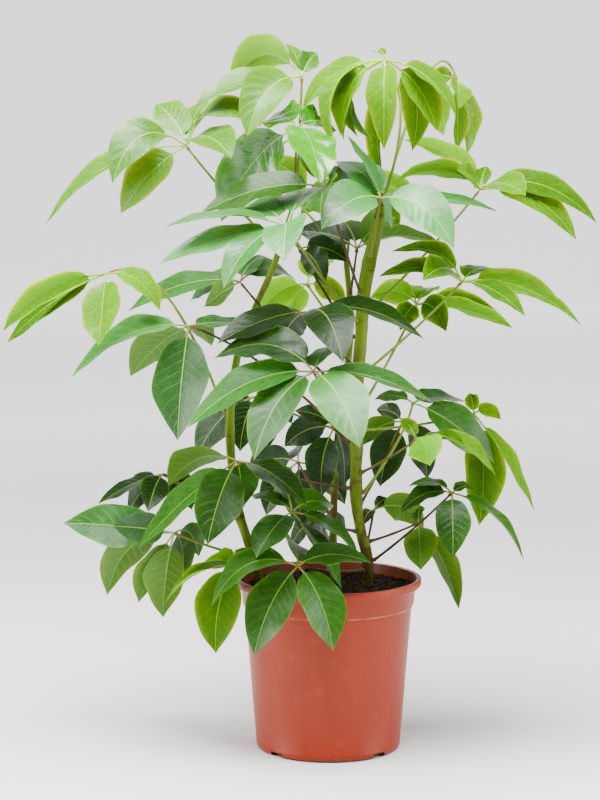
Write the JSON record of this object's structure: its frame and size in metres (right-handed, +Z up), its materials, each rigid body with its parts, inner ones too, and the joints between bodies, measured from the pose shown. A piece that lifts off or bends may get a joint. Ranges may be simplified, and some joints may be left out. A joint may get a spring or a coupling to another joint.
{
  "type": "potted umbrella plant",
  "caption": "Umbrella plant: upright green stems with long-stalked leaves, each a fan of drooping leaflets, growing in a tapered terracotta-coloured plastic nursery pot of dark peat.",
  "frame": {"origin": "the middle of the pot's flat underside, where the pot stands", "axes": "+Z up along the pot's axis, -Y towards the viewer of the picture, +X to the viewer's right"},
  "size_m": [0.7919, 0.5655, 0.9517],
  "materials": {
    "pot_plastic": "satin terracotta-coloured plastic",
    "peat": "dark crumbly peat",
    "stem_bark": "smooth green bark with brown patches",
    "leaf_young": "thin yellow-green leaf, satin",
    "leaf_fresh": "fresh green leaf, satin",
    "leaf_middle": "green leaf, glossy",
    "leaf_dark": "dark green leaf, glossy"
  },
  "bodies": {
    "root": {"pot": "pot_plastic", "soil": "peat", "stem_main": "stem_bark", "stem_left": "stem_bark", "stem_back": "stem_bark", "leaf_crown": "leaf_young", "leaf_crown_right": "leaf_young", "leaf_top_middle": "leaf_young", "leaf_high_bright_back": "leaf_young", "leaf_top_left": "leaf_fresh", "leaf_high_right": "leaf_fresh", "leaf_far_left": "leaf_fresh", "leaf_mid_right": "leaf_fresh", "leaf_mid_right_back": "leaf_fresh", "leaf_right_hanging": "leaf_fresh", "leaf_right_red_hub": "leaf_fresh", "leaf_low_right_inner": "leaf_dark", "leaf_low_left_far": "leaf_middle", "leaf_rim_left": "leaf_fresh", "leaf_back_high": "leaf_fresh", "leaf_back_high_left": "leaf_fresh", "leaf_top_glossy": "leaf_middle", "leaf_high_left": "leaf_middle", "leaf_high_front": "leaf_middle", "leaf_mid_left": "leaf_middle", "leaf_centre_front": "leaf_middle", "leaf_low_right": "leaf_dark", "leaf_rim_front": "leaf_dark", "leaf_high_centre": "leaf_dark", "leaf_high_brown_stalk": "leaf_dark", "leaf_high_dark": "leaf_dark", "leaf_mid_front": "leaf_dark", "leaf_left_hanging": "leaf_dark", "leaf_mid_dark": "leaf_dark", "leaf_right_yellow_stalk": "leaf_dark", "leaf_right_inner_back": "leaf_dark", "leaf_low_left_front": "leaf_dark", "leaf_low_left_back": "leaf_dark", "leaf_low_middle": "leaf_dark", "leaf_low_right_back": "leaf_dark", "leaf_back_low_left": "leaf_dark", "leaf_back_middle": "leaf_dark", "leaf_back_low": "leaf_dark"}
  },
  "joints": []
}
